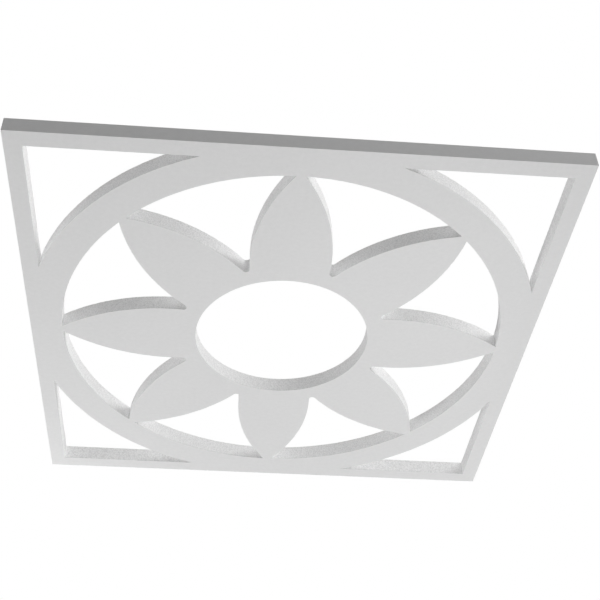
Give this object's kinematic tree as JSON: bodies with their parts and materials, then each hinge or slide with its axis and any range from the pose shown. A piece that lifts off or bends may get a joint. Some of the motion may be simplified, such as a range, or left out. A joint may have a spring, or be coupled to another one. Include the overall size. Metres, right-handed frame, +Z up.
{
  "type": "pierced ceiling medallion",
  "caption": "Flat square ceiling medallion cut through one white sheet: a square border, a ring, a petal flower and a round centre hole.",
  "frame": {"origin": "on the axis of the centre hole, in the flat back face that lies against the ceiling", "axes": "+Z points up into the ceiling, so the face seen from the room looks along -Z; X and Y run along the border's sides"},
  "size_m": [0.8128, 0.8128, 0.0254],
  "materials": {
    "white_board": "matte white, factory smooth faces and finely pitted cut edges"
  },
  "bodies": {
    "root": {"medallion": "white_board"}
  },
  "joints": []
}
